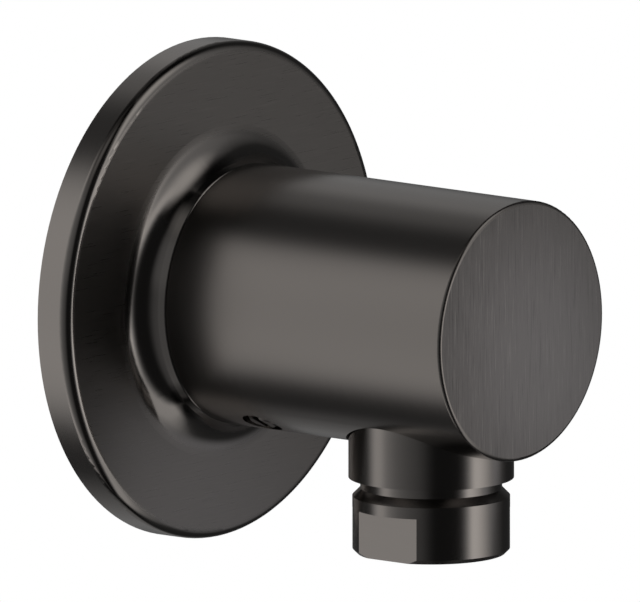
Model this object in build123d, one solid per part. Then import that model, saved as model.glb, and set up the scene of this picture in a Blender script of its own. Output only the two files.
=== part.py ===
from build123d import *

import os
from math import cos, radians, sin, tan

# Wall outlet elbow for a shower hose. Millimetres, +Z up, +Y into the wall.
# The origin is where the inlet axis crosses the finished wall. "Distance" is measured
# from the wall into the room, along -Y; the outlet hangs down, along -Z.

# Pipe thread
thread_d = 20.955

# Body, a plain turned cylinder with a reduced tail behind its shoulder
body_d = 34.86
body_front = 55.6
body_shoulder = 9.1
body_front_edge = 0.5
body_back_edge = 0.15
tail_d = 29.6
tail_end = 4.2
passage_d = 14.0
passage_beyond_outlet = 5.0
drill_point_angle = 59.0

# Rosette, the flange that covers the hole in the wall
rosette_d = 66.5
rosette_face = 5.12
rim_edge = 1.45
rim_wall = 2.0
rosette_recess = 3.0
cove_r = 5.0
neck_lean = 25.0
neck_drop = 0.18
neck_round = 0.42
neck_gap = 0.1
tail_clearance = 0.1
gasket_width = 3.6
gasket_clearance = 0.1

# Wall nipple: thread into the wall, collar, and a plain spigot that the body slides on
inlet_thread_length = 14.0
inlet_chamfer = 1.0
inlet_relief_d = 18.2
collar_d = 24.0
collar_width = 2.2
spigot_d = 18.0
spigot_end = 24.5
spigot_chamfer = 0.8
spigot_clearance = 0.05
spigot_end_gap = 0.5
nipple_bore_d = 11.0
nipple_key_size = 12.0
nipple_key_depth = 4.5

# Set screw that clamps the body on the spigot, leaning off the vertical to the left
screw_distance = 17.9
screw_lean = 27.0
screw_d = 5.0
screw_sink = 0.15
screw_edge = 0.8
screw_slot_width = 1.05
screw_slot_depth = 1.5
screw_tip_d = 3.0
screw_tip_length = 1.0
screw_clearance = 0.05
screw_mouth_d = 5.5
screw_mouth_depth = 1.6
screw_groove_depth = 1.0

# Outlet nipple, screwed up into the underside of the body
outlet_distance = 40.25
outlet_neck_d = 22.0
outlet_neck_end = 21.2
outlet_mouth_gap = 0.3
outlet_seat = 12.8
outlet_shank_d = 18.0
outlet_shank_length = 6.0
outlet_shank_clearance = 0.03
outlet_bore_d = 10.0
outlet_relief_d = 18.84
outlet_relief_width = 1.43
outlet_end = 31.35
outlet_chamfer = 0.6
flat_size = 18.5
flat_start = 25.2
flat_lead_in = 0.02

# O-rings: radial depth and axial width of their grooves, and the slack left around the cord
ring_depth = 1.4
ring_width = 2.2
ring_slack = 0.02
spigot_ring_first = 7.4
spigot_ring_pitch = 4.2
tail_ring_distance = 6.6
shank_ring_height = 2.6

# Check valve cartridge, pushed up into the outlet nipple
chamber_d = 15.0
chamber_top = 13.8
cage_clearance = 0.06
cage_end_gap = 0.1
cage_plate = 1.9
cage_wall = 1.5
cage_flange_d = 16.4
cage_flange_width = 1.3
cage_ring_depth = 0.95
cage_ring_width = 1.25
seat_hole_d = 8.0
seat_gap = 0.05
seal_width = 1.0
seal_height = 0.9
seal_inset = 0.2
seal_slack = 0.03
poppet_rim = 1.1
poppet_plate = 1.3
nose_clearance = 0.4
nose_height = 2.2
nose_tip_d = 2.0
stem_d = 2.4
stem_clearance = 0.05
stem_past_hub = 0.6
valve_travel = 2.5
stop_gap = 0.05
skirt_room = 0.25
skirt_wall = 0.6
guide_height = 2.4
guide_ring = 0.9
guide_ledge = 0.4
guide_rib = 1.1
guide_ribs = 3
guide_clearance = 0.04
spring_wire_d = 0.45
spring_length = 6.95
spring_turns = 5.0
spring_room = 0.45
spring_slack = 0.06

# Sizes that follow from the ones above
thread_r = thread_d / 2
body_r = body_d / 2
tail_r = tail_d / 2
spigot_r = spigot_d / 2
spigot_bore_r = spigot_r + spigot_clearance
spigot_groove_r = spigot_bore_r - ring_depth
passage_r = passage_d / 2
passage_start = spigot_end + spigot_end_gap
passage_end = outlet_distance + passage_beyond_outlet
rosette_r = rosette_d / 2
recess_r = rosette_r - rim_wall
neck_bore_r = tail_r + tail_clearance
tail_groove_r = neck_bore_r - ring_depth
neck_front = body_shoulder - neck_gap
neck_mouth_r = body_r - neck_drop
cove_turn = 90 - neck_lean
shank_r = outlet_shank_d / 2
port_r = shank_r + outlet_shank_clearance
shank_groove_r = port_r - ring_depth
shank_top = outlet_seat - outlet_shank_length
shank_ring_z = -(outlet_seat - shank_ring_height)
outlet_relief_end = outlet_neck_end + outlet_relief_width
outlet_thread_start = outlet_relief_end + (thread_d - outlet_relief_d) / 2
chamber_r = chamber_d / 2
cage_r = chamber_r - cage_clearance
cage_top = chamber_top + cage_end_gap
cage_bore_r = cage_r - cage_wall
cage_ring_r = chamber_r - cage_ring_depth
cage_ring_z = -(cage_top + cage_plate / 2)
guide_seat_r = cage_bore_r + guide_ledge
flange_r = cage_flange_d / 2
seat_z = -(cage_top + cage_plate)
seal_top = seat_z - seat_gap
seal_inner_r = seat_hole_d / 2 + seal_inset
seal_outer_r = seal_inner_r + seal_width
poppet_top = seal_top - seal_height
poppet_bottom = poppet_top - poppet_plate
poppet_r = seal_inner_r + poppet_rim
nose_r = seat_hole_d / 2 - nose_clearance
stem_r = stem_d / 2
guide_z = poppet_bottom - spring_length
stem_end = guide_z - guide_height - stem_past_hub
spring_coil_r = stem_r + spring_room + spring_wire_d / 2
spring_low = guide_z + spring_wire_d / 2 + spring_slack
spring_high = poppet_bottom - spring_wire_d / 2 - spring_slack
skirt_bore_r = spring_coil_r + spring_wire_d / 2 + skirt_room
skirt_r = skirt_bore_r + skirt_wall
skirt_end = guide_z + valve_travel + stop_gap

AROUND_WALL_AXIS = Axis.Y
AROUND_OUTLET = Axis.Z
at_outlet = Pos(0, -outlet_distance, 0)
screw_direction = Vector(-sin(radians(screw_lean)), 0, -cos(radians(screw_lean)))


def turned_on_wall_axis(*outline):
    """Revolve an outline of (radius, distance from the wall) points about the inlet axis."""
    points = [(radius, -distance) for radius, distance in outline]
    return revolve(make_face(Polyline(*points, close=True)), axis=AROUND_WALL_AXIS)


def turned_on_outlet(*outline):
    """Revolve an outline of (radius, height) points about the outlet's own vertical axis."""
    profile = make_face(Polyline(*outline, close=True))
    return at_outlet * revolve(Plane.XZ * profile, axis=AROUND_OUTLET)


def upright(radius, top, bottom):
    """A plain cylinder on the outlet axis between two heights."""
    rod = Cylinder(radius, top - bottom, align=(Align.CENTER, Align.CENTER, Align.MIN))
    return at_outlet * Pos(0, 0, bottom) * rod


def screw_rod(radius, inner, outer):
    """A plain cylinder on the set screw's axis between two distances from the body's axis."""
    start = Plane(Vector(0, -screw_distance, 0) + screw_direction * inner, z_dir=screw_direction)
    return start * Cylinder(radius, outer - inner, align=(Align.CENTER, Align.CENTER, Align.MIN))


def hexagon(size):
    """A hexagon of the given size across its flats."""
    return RegularPolygon(size / 2, 6, major_radius=False)


def ring_in_groove(inner_r, outer_r):
    """An O-ring lying flat, that fills a groove between two radii."""
    cord_r = (outer_r - inner_r) / 2 - ring_slack
    return Torus((inner_r + outer_r) / 2, cord_r)


def ring_on_wall_axis(inner_r, outer_r, distance):
    return Pos(0, -distance, 0) * Rot(90, 0, 0) * ring_in_groove(inner_r, outer_r)


def make_rosette():
    """Flat turned flange with a rounded rim and a cove that runs into a short cone of a neck, hollowed behind."""
    face = -rosette_face
    cove_top = rosette_face + cove_r * (1 - cos(radians(cove_turn)))
    cove_top_r = neck_mouth_r + (neck_front - cove_top) * tan(radians(neck_lean))
    cove_foot_r = cove_top_r + cove_r * sin(radians(cove_turn))
    with BuildPart() as rosette:
        with BuildSketch(Plane.XY) as outline:
            with BuildLine():
                rim = Line((rosette_r, 0), (rosette_r, face + rim_edge))
                edge = TangentArc(rim @ 1, (rosette_r - rim_edge, face), tangent=rim % 1)
                front = Line(edge @ 1, (cove_foot_r, face))
                cove = JernArc(front @ 1, front % 1, cove_r, cove_turn)
                Polyline(
                    cove @ 1,
                    (neck_mouth_r, -neck_front),
                    (neck_bore_r, -neck_front),
                    (neck_bore_r, -rosette_recess),
                    (recess_r, -rosette_recess),
                    (recess_r, 0),
                    (rosette_r, 0),
                )
            make_face()
            mouth = outline.vertices().sort_by_distance((neck_mouth_r, -neck_front))[0]
            fillet(mouth, neck_round)
        revolve(axis=AROUND_WALL_AXIS)
    return rosette.part


def make_rosette_gasket():
    """Foam ring that fills the rosette's recess just inside its rim."""
    outer = recess_r - gasket_clearance
    inner = outer - gasket_width
    return turned_on_wall_axis((inner, 0), (outer, 0), (outer, rosette_recess), (inner, rosette_recess))


def make_elbow_body():
    """Turned cylinder with a closed front, bored from behind, with a socket for the outlet nipple."""
    groove = (tail_ring_distance - ring_width / 2, tail_ring_distance + ring_width / 2)
    drill_point = passage_end + passage_r / tan(radians(drill_point_angle))
    with BuildPart() as body:
        with BuildSketch(Plane.XY):
            with BuildLine():
                end = Line((0, -body_front), (body_r - body_front_edge, -body_front))
                nose = TangentArc(end @ 1, (body_r, -body_front + body_front_edge), tangent=end % 1)
                side = Line(nose @ 1, (body_r, -body_shoulder - body_back_edge))
                heel = TangentArc(side @ 1, (body_r - body_back_edge, -body_shoulder), tangent=side % 1)
                Polyline(
                    heel @ 1,
                    (tail_r, -body_shoulder),
                    (tail_r, -groove[1]),
                    (tail_groove_r, -groove[1]),
                    (tail_groove_r, -groove[0]),
                    (tail_r, -groove[0]),
                    (tail_r, -tail_end),
                    (spigot_bore_r + spigot_chamfer, -tail_end),
                    (spigot_bore_r, -tail_end - spigot_chamfer),
                    (spigot_bore_r, -passage_start),
                    (passage_r, -passage_start),
                    (passage_r, -passage_end),
                    (0, -drill_point),
                    (0, -body_front),
                )
            make_face()
        revolve(axis=AROUND_WALL_AXIS)
    mouth = upright(outlet_neck_d / 2 + outlet_mouth_gap, -outlet_seat, -body_r)
    port = upright(port_r, -shank_top, -outlet_seat)
    waterway = upright(outlet_bore_d / 2, 0, -shank_top)
    screw_hole = screw_rod(screw_d / 2 + screw_clearance, 0, body_r)
    screw_mouth = screw_rod(screw_mouth_d / 2, body_r - screw_mouth_depth, body_r + screw_mouth_depth)
    return body.part - mouth - port - waterway - screw_hole - screw_mouth


def make_wall_nipple():
    """Threaded nipple with a collar, and a grooved spigot whose end takes a hexagon key."""
    collar_end = tail_end - spigot_end_gap
    collar_start = collar_end - collar_width
    relief_r = inlet_relief_d / 2
    outline = [
        (nipple_bore_d / 2, -inlet_thread_length - inlet_chamfer),
        (thread_r - inlet_chamfer, -inlet_thread_length - inlet_chamfer),
        (thread_r, -inlet_thread_length),
        (thread_r, 0),
        (relief_r, 0),
        (relief_r, collar_start),
        (collar_d / 2, collar_start),
        (collar_d / 2, collar_end),
        (spigot_r, collar_end),
    ]
    for ring in range(2):
        middle = spigot_ring_first + ring * spigot_ring_pitch
        outline += [
            (spigot_r, middle - ring_width / 2),
            (spigot_groove_r, middle - ring_width / 2),
            (spigot_groove_r, middle + ring_width / 2),
            (spigot_r, middle + ring_width / 2),
        ]
    clamp_half = screw_tip_d / 2 + screw_groove_depth
    outline += [
        (spigot_r, screw_distance - clamp_half),
        (spigot_r - screw_groove_depth, screw_distance - screw_tip_d / 2),
        (spigot_r - screw_groove_depth, screw_distance + screw_tip_d / 2),
        (spigot_r, screw_distance + clamp_half),
        (spigot_r, spigot_end - spigot_chamfer),
        (spigot_r - spigot_chamfer, spigot_end),
        (nipple_bore_d / 2, spigot_end),
    ]
    key_plane = Plane((0, -spigot_end, 0), z_dir=(0, 1, 0))
    key = extrude(key_plane * hexagon(nipple_key_size), nipple_key_depth)
    return turned_on_wall_axis(*outline) - key


def make_set_screw():
    """Grub screw with a driver slot, a chamfered end and a turned-down tip that sits in the spigot's groove."""
    tip = spigot_r - screw_groove_depth
    head = body_r - screw_sink
    tip_rod = screw_rod(screw_tip_d / 2 - screw_clearance, tip, tip + screw_tip_length)
    screw = screw_rod(screw_d / 2, tip + screw_tip_length, head) + tip_rod
    end_rim = max(screw.edges().filter_by(GeomType.CIRCLE), key=lambda rim: rim.arc_center.dot(screw_direction))
    screw = chamfer(end_rim, screw_edge)
    end_middle = Vector(0, -screw_distance, 0) + screw_direction * head
    slot_plane = Plane(end_middle, x_dir=(0, 1, 0), z_dir=-screw_direction)
    return screw - extrude(slot_plane * Rectangle(screw_slot_width, 2 * screw_d), screw_slot_depth)


def make_outlet_nipple():
    """Neck, undercut and pipe-thread collar with two spanner flats; the shank screws into the body."""
    flange_seat = outlet_end - cage_flange_width - cage_end_gap
    flange_seat_r = flange_r + cage_clearance
    lead_in_r = thread_r - flat_lead_in
    nipple = turned_on_outlet(
        (outlet_bore_d / 2, -shank_top),
        (shank_r, -shank_top),
        (shank_r, shank_ring_z + ring_width / 2),
        (shank_groove_r, shank_ring_z + ring_width / 2),
        (shank_groove_r, shank_ring_z - ring_width / 2),
        (shank_r, shank_ring_z - ring_width / 2),
        (shank_r, -outlet_seat),
        (outlet_neck_d / 2, -outlet_seat),
        (outlet_neck_d / 2, -outlet_neck_end),
        (outlet_relief_d / 2, -outlet_neck_end),
        (outlet_relief_d / 2, -outlet_relief_end),
        (thread_r, -outlet_thread_start),
        (thread_r, -flat_start),
        (lead_in_r, -flat_start),
        (lead_in_r, -outlet_end + outlet_chamfer),
        (lead_in_r - outlet_chamfer, -outlet_end),
        (flange_seat_r, -outlet_end),
        (flange_seat_r, -flange_seat),
        (chamber_r, -flange_seat),
        (chamber_r, -chamber_top),
        (outlet_bore_d / 2, -chamber_top),
    )
    flat_depth = thread_r - flat_size / 2
    flat_height = outlet_end - flat_start
    slab = Box(flat_depth, thread_d, flat_height, align=(Align.MIN, Align.CENTER, Align.MIN))
    right_slab = at_outlet * Pos(flat_size / 2, 0, -outlet_end) * slab
    return nipple - right_slab - mirror(right_slab, about=Plane.YZ)


def make_valve_cage():
    """Plastic housing with the valve seat on top, a grooved shoulder and a flange at the mouth."""
    ring_top = cage_ring_z + cage_ring_width / 2
    ring_bottom = cage_ring_z - cage_ring_width / 2
    flange_top = -outlet_end + cage_flange_width
    return turned_on_outlet(
        (seat_hole_d / 2, -cage_top),
        (cage_r, -cage_top),
        (cage_r, ring_top),
        (cage_ring_r, ring_top),
        (cage_ring_r, ring_bottom),
        (cage_r, ring_bottom),
        (cage_r, flange_top),
        (flange_r, flange_top),
        (flange_r, -outlet_end),
        (guide_seat_r, -outlet_end),
        (guide_seat_r, guide_z),
        (cage_bore_r, guide_z),
        (cage_bore_r, seat_z),
        (seat_hole_d / 2, seat_z),
    )


def make_valve_guide():
    """Spider under the valve: a ring in the cage, and ribs that carry the stem's guide hub."""
    bottom = guide_z - guide_height
    ring_r = guide_seat_r - guide_clearance
    ring = upright(ring_r, guide_z, bottom) - upright(ring_r - guide_ring, guide_z, bottom)
    hub = upright(skirt_r, guide_z, bottom)
    rib_length = ring_r - guide_ring / 2
    rib = Box(rib_length, guide_rib, guide_height, align=(Align.MIN, Align.CENTER, Align.MIN))
    for turn in range(guide_ribs):
        hub += at_outlet * Pos(0, 0, bottom) * Rot(0, 0, 90 + turn * 360 / guide_ribs) * rib
    return ring + hub - upright(stem_r + stem_clearance, guide_z, bottom)


def make_valve_poppet():
    """Streamlined closing disc with a step for the seal, a skirt that stops its travel, and a stem."""
    step_r = seal_inner_r - seal_slack
    step_top = seal_top - seal_height / 2
    return turned_on_outlet(
        (0, step_top + nose_height),
        (nose_tip_d / 2, step_top + nose_height),
        (nose_r, step_top),
        (step_r, step_top),
        (step_r, poppet_top),
        (poppet_r, poppet_top),
        (poppet_r, poppet_bottom),
        (skirt_r, poppet_bottom),
        (skirt_r, skirt_end),
        (skirt_bore_r, skirt_end),
        (skirt_bore_r, poppet_bottom),
        (stem_r, poppet_bottom),
        (stem_r, stem_end),
        (0, stem_end),
    )


def make_valve_seal():
    """Flat rubber ring on the poppet's step, that closes on the seat."""
    return turned_on_outlet(
        (seal_inner_r, seal_top),
        (seal_outer_r, seal_top),
        (seal_outer_r, poppet_top),
        (seal_inner_r, poppet_top),
    )


def make_valve_spring():
    """Coil spring around the stem, between the guide's hub and the poppet."""
    height = spring_high - spring_low
    coil = Helix(height / spring_turns, height, spring_coil_r)
    wire = Plane(coil @ 0, z_dir=coil % 0) * Circle(spring_wire_d / 2)
    return at_outlet * Pos(0, 0, spring_low) * sweep(wire, path=coil, is_frenet=True)


pieces = {
    "rosette": make_rosette(),
    "rosette_gasket": make_rosette_gasket(),
    "rosette_o_ring": ring_on_wall_axis(tail_groove_r, neck_bore_r, tail_ring_distance),
    "elbow_body": make_elbow_body(),
    "wall_nipple": make_wall_nipple(),
    "spigot_o_ring_rear": ring_on_wall_axis(spigot_groove_r, spigot_bore_r, spigot_ring_first),
    "spigot_o_ring_front": ring_on_wall_axis(
        spigot_groove_r, spigot_bore_r, spigot_ring_first + spigot_ring_pitch
    ),
    "set_screw": make_set_screw(),
    "outlet_nipple": make_outlet_nipple(),
    "outlet_o_ring": at_outlet * Pos(0, 0, shank_ring_z) * ring_in_groove(shank_groove_r, port_r),
    "valve_cage": make_valve_cage(),
    "valve_o_ring": at_outlet * Pos(0, 0, cage_ring_z) * ring_in_groove(cage_ring_r, chamber_r),
    "valve_guide": make_valve_guide(),
    "valve_poppet": make_valve_poppet(),
    "valve_seal": make_valve_seal(),
    "valve_spring": make_valve_spring(),
}

os.makedirs("parts", exist_ok=True)
for name, shape in pieces.items():
    export_step(shape, f"parts/{name}.step")
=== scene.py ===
"""Finishes, inlet thread, valve spring and photo studio for a wall outlet elbow of a shower hose.

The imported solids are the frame. They keep their shapes and get their finishes here. The wall nipple, the
valve spring and the foam gasket are made again with what the solids leave out: a cut thread, closed spring
ends and soft foam edges.
"""

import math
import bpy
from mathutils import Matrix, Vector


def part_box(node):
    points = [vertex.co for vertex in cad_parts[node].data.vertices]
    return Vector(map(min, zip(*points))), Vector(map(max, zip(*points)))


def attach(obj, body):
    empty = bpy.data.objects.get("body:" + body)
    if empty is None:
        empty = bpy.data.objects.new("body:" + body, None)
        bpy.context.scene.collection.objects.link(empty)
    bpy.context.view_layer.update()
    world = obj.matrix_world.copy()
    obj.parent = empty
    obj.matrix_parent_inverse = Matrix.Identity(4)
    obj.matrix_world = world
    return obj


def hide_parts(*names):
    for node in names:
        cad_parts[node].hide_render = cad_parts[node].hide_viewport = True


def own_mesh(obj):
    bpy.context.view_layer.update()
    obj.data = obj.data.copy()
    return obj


bl_info = {
    "name": "Wall outlet elbow",
    "version": (1, 0, 0),
    "blender": (4, 5, 0),
    "location": "3D View > Sidebar > Elbow",
    "description": "Finishes, cut thread, spring and studio for a wall outlet elbow",
    "category": "Object",
}

from typing import NamedTuple

import bmesh
import bpy
from bpy.props import FloatProperty, FloatVectorProperty, IntProperty, PointerProperty
from mathutils import Vector

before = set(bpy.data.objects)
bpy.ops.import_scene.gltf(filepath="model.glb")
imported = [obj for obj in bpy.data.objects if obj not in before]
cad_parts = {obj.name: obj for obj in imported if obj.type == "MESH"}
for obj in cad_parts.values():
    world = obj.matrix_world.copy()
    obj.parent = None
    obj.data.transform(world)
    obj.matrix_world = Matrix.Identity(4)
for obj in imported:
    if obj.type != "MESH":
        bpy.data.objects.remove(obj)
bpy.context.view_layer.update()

MM = 0.001


def linear(code):
    """Linear RGBA of an sRGB hex colour."""

    def channel(pair):
        value = int(pair, 16) / 255
        return value / 12.92 if value <= 0.04045 else ((value + 0.055) / 1.055) ** 2.4

    return (*(channel(code[i : i + 2]) for i in (1, 3, 5)), 1.0)


def length(name, description, millimetres):
    """A length property whose default is given in millimetres."""
    return FloatProperty(
        name=name, description=description, default=millimetres * MM, unit="LENGTH", precision=5
    )


def colour(name, description, code):
    """A colour property whose default is given as sRGB hex."""
    return FloatVectorProperty(
        name=name, description=description, default=linear(code), size=4, min=0, max=1, subtype="COLOR"
    )


def share(name, description, default):
    """A plain number between 0 and 1."""
    return FloatProperty(name=name, description=description, default=default, min=0, max=1, subtype="FACTOR")


class ELBOW_PG_finishes(bpy.types.PropertyGroup):
    graphite: colour("Graphite", "Brushed graphite coat of the metal that shows", "#817D7A")
    wall_roughness: share("Wall roughness", "Roughness of the coat on the turned body and outlet", 0.215)
    rim_roughness: share("Rim roughness", "Roughness of the coat on the flange's rim", 0.19)
    cove_roughness: share("Cove roughness", "Roughness of the coat on the flange's curved parts", 0.12)
    face_roughness: share("Face roughness", "Roughness of the coat on flat faces of body and outlet", 0.15)
    flange_roughness: share("Flange roughness", "Roughness of the coat on the flange's flat face", 0.32)
    brush_spread: share("Brush spread", "How much more the gloss spreads across the brush lines", 0.62)
    # Real brush lines are finer than a picture of the whole elbow can show, so they are drawn coarser.
    brush_line: length("Brush line", "Spacing of the brush lines", 0.18)
    brush_stroke: length("Brush stroke", "Length of one brush stroke", 6)
    brass: colour("Brass", "Bare turned brass of the wall nipple", "#D2AE6D")
    rubber: colour("Rubber", "Black seal rubber", "#1D1D1E")
    foam: colour("Foam", "Dark closed-cell foam of the gasket", "#48484A")
    acetal: colour("White acetal", "Moulded plastic of the valve cage and guide", "#E4E3DB")
    grey_acetal: colour("Grey acetal", "Moulded plastic of the valve poppet", "#72777A")
    steel: colour("Steel", "Stainless spring wire", "#C4C2BD")


class ELBOW_PG_nipple(bpy.types.PropertyGroup):
    thread_d: length("Thread diameter", "Outer diameter of the half-inch pipe thread", 20.955)
    thread_pitch: length("Thread pitch", "Pitch of the half-inch pipe thread, 14 turns an inch", 1.814)
    thread_depth: length("Thread depth", "Depth of the thread's groove", 1.162)
    bore_d: length("Bore", "Waterway through the nipple", 11)
    key_size: length("Key size", "Width of the hexagon key that screws the nipple in", 12)
    edge: length("Edge", "Broken edges of the turned corners", 0.15)
    segments: IntProperty(name="Segments", description="Facets round the nipple", default=144, min=24)


class ELBOW_PG_gasket(bpy.types.PropertyGroup):
    hole_d: length("Hole", "Inner diameter of the foam ring", 55.1)
    squareness: share("Squareness", "Power that rounds the ring's section: 1 is an ellipse, 0 a square", 0.32)


class ELBOW_PG_spring(bpy.types.PropertyGroup):
    wire_d: length("Wire", "Diameter of the spring wire", 0.45)
    closed_turns: FloatProperty(
        name="Closed turns", description="Turns that lie wire on wire at each end", default=0.8, min=0
    )
    open_turns: FloatProperty(name="Open turns", description="Turns that move", default=4.4, min=1)


class ELBOW_PG_studio(bpy.types.PropertyGroup):
    azimuth: FloatProperty(
        name="Azimuth",
        description="Where the camera stands round the object",
        default=math.radians(-51.4),
        subtype="ANGLE",
    )
    elevation: FloatProperty(
        name="Elevation",
        description="How far the camera looks down",
        default=math.radians(10.0),
        subtype="ANGLE",
    )
    target: FloatVectorProperty(
        name="Target",
        description="Point at the middle of the picture",
        default=(10.155 * MM, -13.272 * MM, -1.951 * MM),
        subtype="TRANSLATION",
    )
    view_width: length("View width", "Width of the picture at the object", 84.88)
    tent_r: length("Tent radius", "Radius of the light tent that the metal mirrors", 1000)
    floor_depth: length("Floor depth", "How far the floor lies below the wall axis", 1100)
    floor_reach: length("Floor reach", "Half width of the floor", 20000)
    lamp_d: length("Lamp", "Diameter of the lamp that lights the matt pieces", 800)
    lamp_power: FloatProperty(
        name="Lamp power", description="Power of the lamp", default=12, min=0, unit="POWER"
    )
    lamp_place: FloatVectorProperty(
        name="Lamp place",
        description="Where the lamp stands",
        default=(-500 * MM, -800 * MM, 1200 * MM),
        subtype="TRANSLATION",
    )


def add_node(tree, kind, inputs=None, **settings):
    """Adds a node, sets its options, and fills or links its inputs."""
    made = tree.nodes.new(kind)
    for key, value in settings.items():
        setattr(made, key, value)
    for socket, value in (inputs or {}).items():
        if isinstance(value, bpy.types.NodeSocket):
            tree.links.new(value, made.inputs[socket])
        else:
            made.inputs[socket].default_value = value
    return made


def new_material(name):
    """An empty node material and its tree."""
    material = bpy.data.materials.new(name)
    material.use_nodes = True
    material.node_tree.nodes.clear()
    return material, material.node_tree


def surface(tree, shader):
    """Ends a material's tree in this shader."""
    add_node(tree, "ShaderNodeOutputMaterial", {"Surface": shader.outputs[0]})


def brushed_graphite(name, finish, axis, face_stroke, painted_light_scale, face_lines, wall_rough, slope_rough, face_rough):
    """Brass with a brushed graphite coat. Turned walls are brushed round axis, flat faces along face_stroke.

    A dark, slightly warm mirror with hairlines: the gloss spreads across the lines and stays crisp along
    them. face_lines is how strong the lines are on flat faces. The last three are the roughness of walls
    along the axis, of slopes to it and of flat faces. The fifth argument scales the coat's colour up or
    down as painted light and shade, so that the pieces are lit and shaded copies of one graphite.
    """
    material, tree = new_material(name)
    # Painted light and shade: the coat's colour is scaled brighter or darker for each piece.
    coat = [channel * painted_light_scale for channel in finish.graphite[:3]]
    dark, light = ([channel * part for channel in coat] + [1] for part in (0.8, 1.2))
    across = Vector((1, 1, 1)) - Vector(map(abs, axis)) - Vector(map(abs, face_stroke))
    fine, coarse = 1 / finish.brush_line, 1 / finish.brush_stroke
    wall_scale = [fine if a else coarse for a in axis]
    face_scale = [fine if a else coarse for a in across]
    place = add_node(tree, "ShaderNodeTexCoord").outputs["Object"]
    lines = []
    for scale in (wall_scale, face_scale):
        stretched = add_node(tree, "ShaderNodeMapping", {"Vector": place, "Scale": scale})
        lines.append(
            add_node(
                tree,
                "ShaderNodeTexNoise",
                {"Vector": stretched.outputs[0], "Scale": 1.0, "Detail": 3.0, "Roughness": 0.6},
            ).outputs[0]
        )
    # A face counts as flat where it is square to the axis within a few degrees.
    normal = add_node(tree, "ShaderNodeNewGeometry").outputs["Normal"]
    facing = add_node(tree, "ShaderNodeVectorMath", {0: normal, 1: axis}, operation="DOT_PRODUCT")
    facing = add_node(tree, "ShaderNodeMath", {0: facing.outputs["Value"]}, operation="ABSOLUTE")
    flat = add_node(
        tree,
        "ShaderNodeMapRange",
        {"Value": facing.outputs[0], "From Min": 0.96, "From Max": 0.995},
        interpolation_type="SMOOTHSTEP",
    ).outputs[0]
    # On flat faces only the strongest lines show, as sparse light and dark scratches.
    light_scratch = add_node(
        tree,
        "ShaderNodeMapRange",
        {"Value": lines[1], "From Min": 0.57, "From Max": 0.68, "To Min": 0.25, "To Max": 0.75},
    )
    dark_scratch = add_node(
        tree,
        "ShaderNodeMapRange",
        {"Value": lines[1], "From Min": 0.32, "From Max": 0.43, "To Min": -0.25, "To Max": 0.25},
    )
    scratched = add_node(
        tree, "ShaderNodeMath", {0: light_scratch.outputs[0], 1: dark_scratch.outputs[0]}, operation="ADD"
    )
    hairline = add_node(
        tree, "ShaderNodeMix", {0: flat, 2: lines[0], 3: scratched.outputs[0]}, data_type="FLOAT"
    )
    depth = add_node(tree, "ShaderNodeMapRange", {"Value": flat, "To Min": 0.2, "To Max": face_lines})
    contrast = add_node(
        tree, "ShaderNodeMix", {0: depth.outputs[0], 2: 0.5, 3: hairline.outputs[0]}, data_type="FLOAT"
    )
    spread = add_node(tree, "ShaderNodeMix", {0: flat, 4: axis, 5: tuple(across)}, data_type="VECTOR")
    tint = add_node(tree, "ShaderNodeMix", {0: contrast.outputs[0], 6: dark, 7: light}, data_type="RGBA")
    slope = add_node(
        tree,
        "ShaderNodeMapRange",
        {
            "Value": facing.outputs[0],
            "From Min": 0.05,
            "From Max": 0.3,
            "To Min": wall_rough,
            "To Max": slope_rough,
        },
    )
    even = add_node(tree, "ShaderNodeMix", {0: flat, 2: slope.outputs[0], 3: face_rough}, data_type="FLOAT")
    uneven = add_node(
        tree,
        "ShaderNodeMapRange",
        {"Value": contrast.outputs[0], "From Min": 0.3, "From Max": 0.7, "To Min": -0.05, "To Max": 0.05},
    )
    rough = add_node(tree, "ShaderNodeMath", {0: even.outputs[0], 1: uneven.outputs[0]}, operation="ADD")
    bump = add_node(
        tree, "ShaderNodeBump", {"Strength": 0.2, "Distance": 0.001 * MM, "Height": contrast.outputs[0]}
    )
    shader = add_node(
        tree,
        "ShaderNodeBsdfPrincipled",
        {
            "Base Color": tint.outputs[2],
            "Metallic": 1.0,
            "Roughness": rough.outputs[0],
            "Anisotropic": finish.brush_spread,
            "Tangent": spread.outputs[1],
            "Normal": bump.outputs[0],
        },
    )
    surface(tree, shader)
    return material


def turned_brass(name, tone):
    """Bare brass as it leaves the lathe: warm yellow metal with fine tool rings."""
    material, tree = new_material(name)
    place = add_node(tree, "ShaderNodeTexCoord").outputs["Object"]
    ring_step, ring_length, stain_size = 0.125 * MM, 16.7 * MM, 3.85 * MM
    ring_scale = 1 / ring_length, 1 / ring_step, 1 / ring_length
    rings = add_node(tree, "ShaderNodeMapping", {"Vector": place, "Scale": ring_scale})
    rings = add_node(tree, "ShaderNodeTexNoise", {"Vector": rings.outputs[0], "Scale": 1.0, "Detail": 2.0})
    stain = add_node(tree, "ShaderNodeTexNoise", {"Vector": place, "Scale": 1 / stain_size, "Detail": 4.0})
    tint = add_node(
        tree,
        "ShaderNodeMix",
        {0: stain.outputs[0], 6: [c * 0.8 for c in tone[:3]] + [1], 7: tone},
        data_type="RGBA",
    )
    rough = add_node(tree, "ShaderNodeMapRange", {"Value": rings.outputs[0], "To Min": 0.2, "To Max": 0.36})
    bump = add_node(
        tree, "ShaderNodeBump", {"Strength": 0.3, "Distance": 0.01 * MM, "Height": rings.outputs[0]}
    )
    shader = add_node(
        tree,
        "ShaderNodeBsdfPrincipled",
        {
            "Base Color": tint.outputs[2],
            "Metallic": 1.0,
            "Roughness": rough.outputs[0],
            "Normal": bump.outputs[0],
        },
    )
    surface(tree, shader)
    return material


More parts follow.
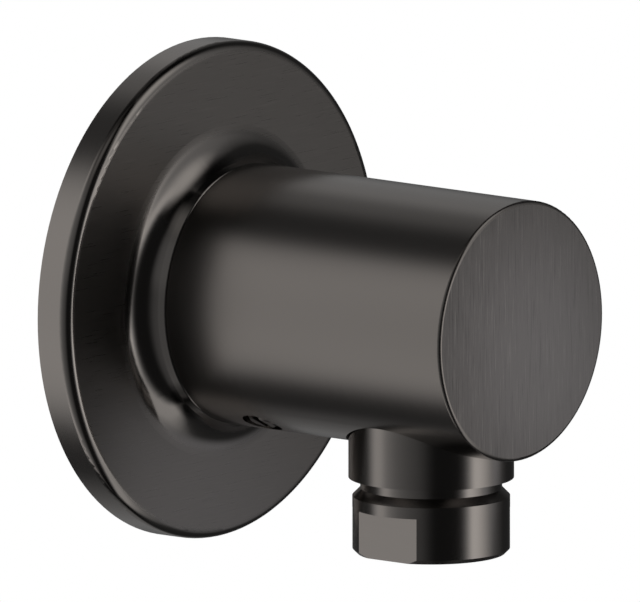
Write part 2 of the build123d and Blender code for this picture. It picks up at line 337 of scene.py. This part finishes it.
def grained(name, tone, grain, dark, roughness, relief, metallic=0.0, ior=1.5):
    """Moulded or drawn stock with an even fine grain of this size, which mottles its colour and its gloss."""
    material, tree = new_material(name)
    place = add_node(tree, "ShaderNodeTexCoord").outputs["Object"]
    speck = add_node(
        tree, "ShaderNodeTexNoise", {"Vector": place, "Scale": 1 / grain, "Detail": 3.0, "Roughness": 0.6}
    )
    tint = add_node(
        tree,
        "ShaderNodeMix",
        {0: speck.outputs[0], 6: [c * dark for c in tone[:3]] + [1], 7: tone},
        data_type="RGBA",
    )
    rough = add_node(
        tree,
        "ShaderNodeMapRange",
        {"Value": speck.outputs[0], "To Min": roughness * 0.8, "To Max": roughness * 1.2},
    )
    bump = add_node(tree, "ShaderNodeBump", {"Strength": 0.5, "Distance": relief, "Height": speck.outputs[0]})
    shader = add_node(
        tree,
        "ShaderNodeBsdfPrincipled",
        {
            "Base Color": tint.outputs[2],
            "Metallic": metallic,
            "IOR": ior,
            "Roughness": rough.outputs[0],
            "Normal": bump.outputs[0],
        },
    )
    surface(tree, shader)
    return material


def foam_cells(name, tone):
    """Closed-cell foam cut from sheet: matt, dark, and pitted with small open cells on its cut faces."""
    material, tree = new_material(name)
    place = add_node(tree, "ShaderNodeTexCoord").outputs["Object"]
    cell = 0.45 * MM
    cells = add_node(tree, "ShaderNodeTexVoronoi", {"Vector": place, "Scale": 1 / cell})
    pits_and_pit_shade = add_node(tree, "ShaderNodeMapRange", {"Value": cells.outputs["Distance"], "From Max": 0.6})
    # The pits give the bump, and their hollows are painted darker as painted shade.
    tint = add_node(
        tree,
        "ShaderNodeMix",
        {0: pits_and_pit_shade.outputs[0], 6: [c * 0.35 for c in tone[:3]] + [1], 7: tone},
        data_type="RGBA",
    )
    bump = add_node(
        tree, "ShaderNodeBump", {"Strength": 0.8, "Distance": 0.15 * MM, "Height": pits_and_pit_shade.outputs[0]}
    )
    shader = add_node(
        tree,
        "ShaderNodeBsdfPrincipled",
        {"Base Color": tint.outputs[2], "Roughness": 0.9, "Normal": bump.outputs[0]},
    )
    surface(tree, shader)
    return material


def dress(node, material):
    """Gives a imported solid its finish."""
    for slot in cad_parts[node].material_slots:
        slot.material = material


def eased(outline, edge):
    """Breaks the corners of a closed (radius, along) outline by a small flat."""
    eased_outline = []
    count = len(outline)
    for i, point in enumerate(outline):
        here = Vector(point)
        for other in (outline[i - 1], outline[(i + 1) % count]):
            step = Vector(other) - here
            reach = min(edge, step.length * 0.4)
            eased_outline.append(tuple(here + step.normalized() * reach))
    return eased_outline


def turned_mesh(name, rings, segments):
    """A closed mesh turned on the wall axis. Each ring is (radius at an angle, place along +Y)."""
    mesh = bpy.data.meshes.new(name)
    form = bmesh.new()
    rows = []
    for radius, along in rings:
        row = []
        for step in range(segments):
            angle = 2 * math.pi * step / segments
            r = radius(angle) if callable(radius) else radius
            row.append(form.verts.new((r * math.sin(angle), along, r * math.cos(angle))))
        rows.append(row)
    for lower, upper in zip(rows, rows[1:] + rows[:1]):
        for step in range(segments):
            after = (step + 1) % segments
            form.faces.new((lower[step], lower[after], upper[after], upper[step]))
    bmesh.ops.recalc_face_normals(form, faces=form.faces)
    form.to_mesh(mesh)
    form.free()
    mesh.polygons.foreach_set("use_smooth", [True] * len(mesh.polygons))
    mesh.set_sharp_from_angle(angle=math.radians(32))
    return mesh


def add_piece(name, mesh, material, body, node):
    """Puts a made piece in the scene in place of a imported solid."""
    piece = bpy.data.objects.new(name, mesh)
    bpy.context.scene.collection.objects.link(piece)
    piece.data.materials.append(material)
    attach(piece, body)
    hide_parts(node)
    return piece


class ELBOW_OT_graphite_pieces(bpy.types.Operator):
    """Finish the flange, the body and the outlet in brushed graphite"""

    bl_idname = "elbow.graphite_pieces"
    bl_label = "Flange, body and outlet"

    def execute(self, context):
        finish = context.scene.elbow_finishes
        wall, side, up = (0, 1, 0), (1, 0, 0), (0, 0, 1)
        flange = finish.rim_roughness, finish.cove_roughness, finish.flange_roughness
        turned = finish.wall_roughness, finish.wall_roughness, finish.face_roughness
        # The fifth column scales each piece's coat as painted light and shade: the flange and outlet painted
        # brighter, the body darker.
        for node, name, axis, stroke, painted_light_scale, lines, gloss in (
            ("rosette", "graphite_brass_brushed_flange", wall, side, 1.15, 0.4, flange),
            ("elbow_body", "graphite_brass_brushed_body", wall, up, 0.94, 1.0, turned),
            ("outlet_nipple", "graphite_brass_turned_outlet", up, side, 1.06, 0.4, turned),
        ):
            dress(node, brushed_graphite(name, finish, axis, stroke, painted_light_scale, lines, *gloss))
        return {"FINISHED"}


class ELBOW_OT_wall_nipple(bpy.types.Operator):
    """Make the wall nipple with its cut pipe thread"""

    bl_idname = "elbow.wall_nipple"
    bl_label = "Wall nipple"

    def execute(self, context):
        finish = context.scene.elbow_finishes
        size = context.scene.elbow_nipple
        thread_r, bore_r, key_r = size.thread_d / 2, size.bore_d / 2, size.key_size / 2
        end, chamfer_start, mouth_edge, key_floor = 15 * MM, 14 * MM, 0.4 * MM, -20 * MM
        rows_a_turn = 14
        flank_start, flank_width, rounding = 0.16, 0.68, 0.35

        def thread(along):
            def radius(angle):
                turn = (along / size.thread_pitch - angle / (2 * math.pi)) % 1
                rise = abs(2 * turn - 1)
                flank = min(max((rise - flank_start) / flank_width, 0), 1)
                groove = flank * flank * (3 - 2 * flank) * rounding + flank * (1 - rounding)
                chamfered = thread_r - max(along - chamfer_start, 0)
                return min(thread_r - size.thread_depth * groove, chamfered)

            return radius

        def key(angle):
            third = math.pi / 3
            return key_r / math.cos((angle + third / 2) % third - third / 2)

        turned = [
            (9.1, 0), (9.1, -1.5), (12, -1.5), (12, -3.7), (9, -3.7),
            (9, -6.3), (7.65, -6.3), (7.65, -8.5), (9, -8.5),
            (9, -10.5), (7.65, -10.5), (7.65, -12.7), (9, -12.7),
            (9, -15.4), (8, -16.4), (8, -19.4), (9, -20.4), (9, -23.7), (8.2, -24.5),
        ]  # fmt: skip
        turned = [(r * MM, y * MM) for r, y in turned]
        spigot_end = turned[-1][1]
        outside = eased([(thread_r, 0)] + turned + [(key_r, spigot_end)], size.edge)[2:-2]
        step = size.thread_pitch / rows_a_turn
        rows = [end - i * step for i in range(int(end / step) + 1)] + [0]
        rings = [(bore_r, end - mouth_edge), (bore_r + mouth_edge, end)]
        rings += [(thread(y), y) for y in rows]
        rings += outside
        rings += [(key, spigot_end), (key, key_floor), (bore_r, key_floor)]
        mesh = turned_mesh("wall_nipple_threaded", rings, size.segments)
        brass = turned_brass("brass_turned", finish.brass)
        add_piece("wall_nipple_threaded", mesh, brass, "fitting", "wall_nipple")
        return {"FINISHED"}


class ELBOW_OT_gasket(bpy.types.Operator):
    """Make the foam gasket behind the flange"""

    bl_idname = "elbow.gasket"
    bl_label = "Gasket"

    def execute(self, context):
        finish = context.scene.elbow_finishes
        size = context.scene.elbow_gasket
        low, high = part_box("rosette_gasket")
        outer, inner = high.x, size.hole_d / 2
        middle_y, half_y = (high.y + low.y) / 2, (high.y - low.y) / 2
        middle_r, half_r = (outer + inner) / 2, (outer - inner) / 2
        steps, segments = 40, 160
        rings = []
        for i in range(steps):
            turn = 2 * math.pi * i / steps
            c, s = math.cos(turn), math.sin(turn)
            across = math.copysign(abs(c) ** size.squareness, c)
            along = math.copysign(abs(s) ** size.squareness, s)
            rings.append((middle_r + half_r * across, middle_y + half_y * along))
        mesh = turned_mesh("rosette_gasket_foam", rings, segments)
        foam = foam_cells("foam_rubber_cut", finish.foam)
        gasket = add_piece("rosette_gasket_foam", mesh, foam, "fitting", "rosette_gasket")
        return {"FINISHED"}


class ELBOW_OT_seals(bpy.types.Operator):
    """Finish the O-rings and the valve seal in black rubber"""

    bl_idname = "elbow.seals"
    bl_label = "Seals"

    def execute(self, context):
        finish = context.scene.elbow_finishes
        # Matt black with a faint mould grain: seals lie in shadow and show little else.
        rubber = grained("epdm_rubber_moulded", finish.rubber, 0.12 * MM, 0.7, 0.55, 0.01 * MM, ior=1.52)
        for node in (
            "rosette_o_ring",
            "spigot_o_ring_rear",
            "spigot_o_ring_front",
            "outlet_o_ring",
            "valve_o_ring",
            "valve_seal",
        ):
            dress(node, rubber)
        return {"FINISHED"}


class ELBOW_OT_valve(bpy.types.Operator):
    """Finish the check valve's moulded pieces and the set screw"""

    bl_idname = "elbow.valve"
    bl_label = "Check valve and set screw"

    def execute(self, context):
        finish = context.scene.elbow_finishes
        # Moulded acetal has a waxy, even shine. The screw's coat is the body's, over a coarser turned end.
        acetal = {"grain": 0.2 * MM, "roughness": 0.38, "relief": 0.004 * MM, "ior": 1.48}
        white = grained("acetal_moulded_white", finish.acetal, dark=0.94, **acetal)
        grey = grained("acetal_moulded_grey", finish.grey_acetal, dark=0.9, **acetal)
        coated = grained(
            "graphite_steel_turned", finish.graphite, 0.15 * MM, 0.82, 0.3, 0.003 * MM, metallic=1.0
        )
        dress("valve_cage", white)
        dress("valve_guide", white)
        dress("valve_poppet", grey)
        dress("set_screw", coated)
        return {"FINISHED"}


class ELBOW_OT_spring(bpy.types.Operator):
    """Wind the valve spring with closed ends; on the real valve it shortens as the valve opens"""

    bl_idname = "elbow.spring"
    bl_label = "Valve spring"

    def execute(self, context):
        finish = context.scene.elbow_finishes
        size = context.scene.elbow_spring
        low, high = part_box("valve_spring")
        wire_r = size.wire_d / 2
        coil_r = (high.x - low.x) / 2 - wire_r
        middle = (low + high) / 2
        turns = 2 * size.closed_turns + size.open_turns
        height = high.z - low.z - size.wire_d
        slack, steps_a_turn, sides = 1.02, 48, 14
        rise_closed = size.wire_d * slack
        pitch = (height - 2 * size.closed_turns * rise_closed) / size.open_turns
        steps = int(turns * steps_a_turn)
        up = Vector((0, 0, 1))

        def height_at(turn):
            first = min(turn, size.closed_turns)
            last = max(turn - size.closed_turns - size.open_turns, 0)
            return (first + last) * rise_closed + (turn - first - last) * pitch

        form = bmesh.new()
        rows = []
        for i in range(steps + 1):
            turn = turns * i / steps
            angle = 2 * math.pi * turn
            out = Vector((math.cos(angle), math.sin(angle), 0))
            centre = Vector((middle.x, middle.y, low.z + wire_r + height_at(turn))) + out * coil_r
            row = []
            for side in range(sides):
                a = 2 * math.pi * side / sides
                row.append(form.verts.new(centre + (out * math.cos(a) + up * math.sin(a)) * wire_r))
            rows.append(row)
        for lower, upper in zip(rows, rows[1:]):
            for side in range(sides):
                after = (side + 1) % sides
                form.faces.new((lower[side], lower[after], upper[after], upper[side]))
        form.faces.new(rows[0])
        form.faces.new(rows[-1])
        bmesh.ops.recalc_face_normals(form, faces=form.faces)
        mesh = bpy.data.meshes.new("valve_spring_wound")
        form.to_mesh(mesh)
        form.free()
        mesh.polygons.foreach_set("use_smooth", [True] * len(mesh.polygons))
        mesh.set_sharp_from_angle(angle=math.radians(50))
        # Drawn wire is bright and slightly streaked.
        steel = grained("stainless_wire_drawn", finish.steel, 0.1 * MM, 0.85, 0.26, 0.002 * MM, metallic=1.0)
        spring = add_piece("valve_spring_wound", mesh, steel, "fitting", "valve_spring")
        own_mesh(spring)
        return {"FINISHED"}


# Light that the metal mirrors, by azimuth round the tent from the front (-Y) by the left (-X), in degrees,
# with its levels below, at and above the horizon: a tall strip box at the front right, a wide one at the left
# behind, a weak one at the right behind, and dark cloth between.
TENT_LIGHT = (
    (0, 0.2, 0.26, 0.38),
    (5, 0.06, 0.06, 0.06),
    (12, 0.018, 0.018, 0.018),
    (46, 0.018, 0.018, 0.018),
    (54, 0.045, 0.045, 0.1),
    (62, 0.095, 0.095, 0.17),
    (70, 0.14, 0.14, 0.2),
    (85, 0.2, 0.2, 0.24),
    (101, 0.29, 0.29, 0.29),
    (116, 0.47, 0.47, 0.47),
    (126, 0.82, 0.82, 0.82),
    (134, 0.88, 0.88, 0.88),
    (139, 0.7, 0.7, 0.7),
    (145, 0.36, 0.36, 0.42),
    (151, 0.1, 0.1, 0.16),
    (158, 0.045, 0.045, 0.12),
    (180, 0.05, 0.05, 0.16),
    (200, 0.18, 0.07, 0.42),
    (212, 0.24, 0.07, 0.36),
    (222, 0.28, 0.09, 0.44),
    (232, 0.25, 0.14, 0.33),
    (242, 0.05, 0.05, 0.1),
    (262, 0.03, 0.03, 0.03),
    (284, 0.04, 0.04, 0.04),
    (300, 0.05, 0.13, 0.18),
    (308, 0.08, 0.16, 0.28),
    (317, 0.26, 0.46, 0.34),
    (333, 0.72, 1.1, 0.42),
    (342, 0.74, 1.38, 0.56),
    (349, 0.75, 1.42, 0.95),
    (355, 0.42, 0.68, 0.92),
)


def tent_mesh(radius):
    """A round tent, open nowhere, with its seams up and down."""
    mesh = bpy.data.meshes.new("light_tent")
    form = bmesh.new()
    bmesh.ops.create_uvsphere(form, u_segments=64, v_segments=32, radius=radius)
    form.to_mesh(mesh)
    form.free()
    return mesh


def tent_cloth(radius):
    """Tent cloth that glows by azimuth as the strip boxes behind it do, and fades toward its top and bottom.

    Bright cloth is a little warm and dark cloth a little cool.
    """
    material, tree = new_material("tent_cloth")
    place = add_node(tree, "ShaderNodeTexCoord").outputs["Object"]
    parts = add_node(tree, "ShaderNodeSeparateXYZ", {0: place})
    height = parts.outputs["Z"]
    angle = add_node(
        tree, "ShaderNodeMath", {0: parts.outputs["X"], 1: parts.outputs["Y"]}, operation="ARCTAN2"
    )
    turn = add_node(
        tree,
        "ShaderNodeMath",
        {0: angle.outputs[0], 1: 1 / (2 * math.pi), 2: 0.5},
        operation="MULTIPLY_ADD",
    )
    warmth, coolness = 0.07, 0.02

    def strips(column):
        ramp = add_node(tree, "ShaderNodeValToRGB", {0: turn.outputs[0]})
        stops = ramp.color_ramp.elements
        for azimuth, *levels in TENT_LIGHT:
            level = levels[column]
            warm = warmth * min(level, 1) - coolness
            stop = stops.new(azimuth / 360) if azimuth else stops[0]
            stop.color = (level, level * (1 - warm / 2), level * (1 - warm), 1)
        stops[-1].color = stops[0].color
        return ramp.outputs[0]

    below, level_with, above = range(3)
    light = strips(level_with)
    for column, start, full in ((below, -0.3, -0.6), (above, 0.0, 0.3)):
        belt = add_node(
            tree,
            "ShaderNodeMapRange",
            {"Value": height, "From Min": start * radius, "From Max": full * radius},
            interpolation_type="SMOOTHSTEP",
        )
        light = add_node(
            tree, "ShaderNodeMix", {0: belt.outputs[0], 6: light, 7: strips(column)}, data_type="RGBA"
        ).outputs[2]
    strength, faded = 1.0, 0.1
    for start, end in ((0.62, 0.92), (-0.92, -1.0)):
        fade = add_node(
            tree,
            "ShaderNodeMapRange",
            {
                "Value": height,
                "From Min": start * radius,
                "From Max": end * radius,
                "To Min": 1.0,
                "To Max": faded,
            },
            interpolation_type="SMOOTHSTEP",
        )
        strength = add_node(
            tree, "ShaderNodeMath", {0: strength, 1: fade.outputs[0]}, operation="MULTIPLY"
        ).outputs[0]
    glow = add_node(tree, "ShaderNodeEmission", {"Color": light, "Strength": strength})
    surface(tree, glow)
    return material


COOL_WHITE, WARM_WHITE = "#F9FAFF", "#FFFDFA"
NO_GRID = 5.0


class Card(NamedTuple):
    """A soft card that one spot of the metal mirrors, with lengths in millimetres.

    The way leads from the spot to the card. Without one, the card stands where the camera's line goes on from
    a face that is square to the wall axis. Reach is half its height, and aspect its width by its height. The
    lower the grid's number, the less the card shows from the side.
    """

    name: str
    spot: tuple
    distance: float
    reach: float
    level: float
    aspect: float = 1.0
    tint: str = WARM_WHITE
    way: tuple = None
    grid: float = NO_GRID


# The first two light the flat faces, with a grid that keeps the second off the body's underside. The next two
# light the cove and the neck from above, and the last the outlet's back, which the cove mirrors.
CARDS = (
    Card("front_card", (4, -55.6, -4), 50, 31, 0.58, aspect=0.6, tint=COOL_WHITE),
    Card("flange_card", (-6, -5, -33), 40, 34, 0.33, aspect=0.8, tint=COOL_WHITE, grid=0.22),
    Card("over_card", (-12, -8, 15), 300, 160, 0.85, way=(0.26, -0.62, 0.74)),
    Card("neck_card", (-13, -8, 12), 300, 120, 0.24, way=(-0.4755, -0.1545, 0.866)),
    Card("back_card", (-3, -31, -26), 300, 50, 1.0, aspect=3.2, way=(-0.13, 0.88, -0.455)),
)


def card_glow(card):
    """Round soft card: bright in the middle, gone at its edge. A grid before it hides it from the side."""
    material, tree = new_material(card.name + "_glow")
    reach = card.reach * MM
    middle, grid_start = 0.12 * reach, card.grid / 5
    place = add_node(tree, "ShaderNodeTexCoord").outputs["Object"]
    away = add_node(tree, "ShaderNodeVectorMath", {0: place}, operation="LENGTH").outputs["Value"]
    aslant = add_node(tree, "ShaderNodeLayerWeight", {"Blend": 0.5}).outputs["Facing"]
    fades = [
        add_node(
            tree,
            "ShaderNodeMapRange",
            {"Value": value, "From Min": start, "From Max": end, "To Min": 1.0, "To Max": 0.0},
            interpolation_type="SMOOTHSTEP",
        ).outputs[0]
        for value, start, end in ((away, middle, reach), (aslant, grid_start, card.grid))
    ]
    seen = add_node(tree, "ShaderNodeMath", {0: fades[0], 1: fades[1]}, operation="MULTIPLY")
    glow = add_node(tree, "ShaderNodeEmission", {"Color": linear(card.tint), "Strength": card.level})
    clear = add_node(tree, "ShaderNodeBsdfTransparent")
    mixed = add_node(
        tree, "ShaderNodeMixShader", {0: seen.outputs[0], 1: clear.outputs[0], 2: glow.outputs[0]}
    )
    surface(tree, mixed)
    return material


def add_card(card, mirrored):
    """Stands a card in the scene. mirrored is the way for cards that have none of their own."""
    mesh = bpy.data.meshes.new(card.name)
    form = bmesh.new()
    bmesh.ops.create_circle(form, cap_ends=True, segments=48, radius=card.reach * MM)
    form.to_mesh(mesh)
    form.free()
    way = Vector(card.way) if card.way else mirrored
    stand = bpy.data.objects.new(card.name, mesh)
    stand.location = Vector(card.spot) * MM + way * card.distance * MM
    stand.rotation_mode = "QUATERNION"
    stand.rotation_quaternion = (-way).to_track_quat("Z", "Y")
    stand.scale = (card.aspect, 1, 1)
    stand.data.materials.append(card_glow(card))
    mirrored_only(stand)
    bpy.context.scene.collection.objects.link(stand)
    return stand


def mirrored_only(stand):
    """Shows a stage piece in gloss alone, so that it neither hides nor shades anything."""
    stand.visible_camera = False
    stand.visible_diffuse = False
    stand.visible_transmission = False
    stand.visible_volume_scatter = False
    stand.visible_shadow = False


def in_sight(tree):
    """1 for what is seen straight, in gloss or through glass, and 0 for light on matt surfaces."""
    path = add_node(tree, "ShaderNodeLightPath")
    seen = path.outputs["Is Camera Ray"]
    for ray in ("Is Glossy Ray", "Is Transmission Ray"):
        either = add_node(tree, "ShaderNodeMath", {0: seen, 1: path.outputs[ray]}, operation="MAXIMUM")
        seen = either.outputs[0]
    return seen


def floor_paint():
    """Pale matt floor that shows the object's shadow near it and fades to the white backdrop further out."""
    material, tree = new_material("floor_paint")
    place = add_node(tree, "ShaderNodeTexCoord").outputs["Object"]
    away = add_node(tree, "ShaderNodeVectorMath", {0: place}, operation="LENGTH")
    fade = add_node(
        tree,
        "ShaderNodeMapRange",
        {"Value": away.outputs["Value"], "From Min": 150 * MM, "From Max": 700 * MM},
        interpolation_type="SMOOTHSTEP",
    )
    white = add_node(tree, "ShaderNodeMath", {0: fade.outputs[0], 1: in_sight(tree)}, operation="MULTIPLY")
    matt = add_node(tree, "ShaderNodeBsdfDiffuse", {"Color": linear("#F4F4F3")})
    glow = add_node(tree, "ShaderNodeEmission", {"Color": linear("#FFFFFF"), "Strength": 1.0})
    mixed = add_node(
        tree, "ShaderNodeMixShader", {0: white.outputs[0], 1: matt.outputs[0], 2: glow.outputs[0]}
    )
    surface(tree, mixed)
    return material


def white_world():
    """White surround for what the camera, metal and glass see, and softer light for matt surfaces."""
    world = bpy.data.worlds.new("white_surround")
    world.use_nodes = True
    tree = world.node_tree
    tree.nodes.clear()
    soft = add_node(tree, "ShaderNodeBackground", {"Color": linear("#FFFFFF"), "Strength": 0.6})
    white = add_node(tree, "ShaderNodeBackground", {"Color": linear("#FFFFFF"), "Strength": 1.0})
    mixed = add_node(
        tree, "ShaderNodeMixShader", {0: in_sight(tree), 1: soft.outputs[0], 2: white.outputs[0]}
    )
    add_node(tree, "ShaderNodeOutputWorld", {"Surface": mixed.outputs[0]})
    return world


class ELBOW_OT_studio(bpy.types.Operator):
    """Set up the camera, the light tent, the soft cards, the floor, the lamp and the white surround"""

    bl_idname = "elbow.studio"
    bl_label = "Studio"

    def execute(self, context):
        scene = context.scene
        studio = scene.elbow_studio
        a, e = studio.azimuth, studio.elevation
        back = Vector((math.sin(a) * math.cos(e), -math.cos(a) * math.cos(e), math.sin(e)))
        target = Vector(studio.target)
        middle = Vector((0, -25 * MM, 0))

        camera = bpy.data.objects.new("camera", bpy.data.cameras.new("camera"))
        camera.data.type = "ORTHO"
        camera.data.ortho_scale = studio.view_width
        camera.location = target + back
        camera.rotation_mode = "QUATERNION"
        camera.rotation_quaternion = (-back).to_track_quat("-Z", "Y")
        scene.collection.objects.link(camera)
        scene.camera = camera

        tent = bpy.data.objects.new("light_tent", tent_mesh(studio.tent_r))
        tent.location = middle
        tent.data.materials.append(tent_cloth(studio.tent_r))
        mirrored_only(tent)
        scene.collection.objects.link(tent)

        mirrored = Vector((-back.x, back.y, -back.z))
        cards = [add_card(card, mirrored) for card in CARDS]

        floor_mesh = bpy.data.meshes.new("floor")
        form = bmesh.new()
        bmesh.ops.create_grid(form, x_segments=1, y_segments=1, size=studio.floor_reach)
        form.to_mesh(floor_mesh)
        form.free()
        floor = bpy.data.objects.new("floor", floor_mesh)
        floor.location = middle - Vector((0, 0, studio.floor_depth))
        floor.data.materials.append(floor_paint())
        scene.collection.objects.link(floor)

        lamp = bpy.data.objects.new("key_lamp", bpy.data.lights.new("key_lamp", "AREA"))
        lamp.data.shape = "DISK"
        lamp.data.size = studio.lamp_d
        lamp.data.energy = studio.lamp_power
        lamp.location = studio.lamp_place
        lamp.rotation_mode = "QUATERNION"
        lamp.rotation_quaternion = (middle - lamp.location).to_track_quat("-Z", "Y")
        lamp.visible_glossy = False
        scene.collection.objects.link(lamp)

        scene.world = white_world()
        scene.view_settings.view_transform = "Standard"
        return {"FINISHED"}


OPERATORS = (
    ELBOW_OT_graphite_pieces,
    ELBOW_OT_wall_nipple,
    ELBOW_OT_gasket,
    ELBOW_OT_seals,
    ELBOW_OT_valve,
    ELBOW_OT_spring,
    ELBOW_OT_studio,
)


class ELBOW_PT_sidebar(bpy.types.Panel):
    """Sizes, colours and steps of the elbow"""

    bl_idname = "ELBOW_PT_sidebar"
    bl_label = "Wall outlet elbow"
    bl_space_type = "VIEW_3D"
    bl_region_type = "UI"
    bl_category = "Elbow"

    def draw(self, context):
        for settings in SETTINGS:
            group = getattr(context.scene, settings)
            box = self.layout.box()
            for key in group.bl_rna.properties.keys():
                if key not in ("rna_type", "name"):
                    box.prop(group, key)
        for step in OPERATORS:
            self.layout.operator(step.bl_idname)


SETTINGS = {
    "elbow_finishes": ELBOW_PG_finishes,
    "elbow_nipple": ELBOW_PG_nipple,
    "elbow_gasket": ELBOW_PG_gasket,
    "elbow_spring": ELBOW_PG_spring,
    "elbow_studio": ELBOW_PG_studio,
}
CLASSES = (*SETTINGS.values(), *OPERATORS, ELBOW_PT_sidebar)


def register():
    for each in CLASSES:
        bpy.utils.register_class(each)
    for name, group in SETTINGS.items():
        setattr(bpy.types.Scene, name, PointerProperty(type=group))


def unregister():
    for name in SETTINGS:
        delattr(bpy.types.Scene, name)
    for each in reversed(CLASSES):
        bpy.utils.unregister_class(each)


def main():
    register()
    bpy.ops.elbow.graphite_pieces()
    bpy.ops.elbow.wall_nipple()
    bpy.ops.elbow.gasket()
    bpy.ops.elbow.seals()
    bpy.ops.elbow.valve()
    bpy.ops.elbow.spring()
    bpy.ops.elbow.studio()


if __name__ == "__main__":
    main()
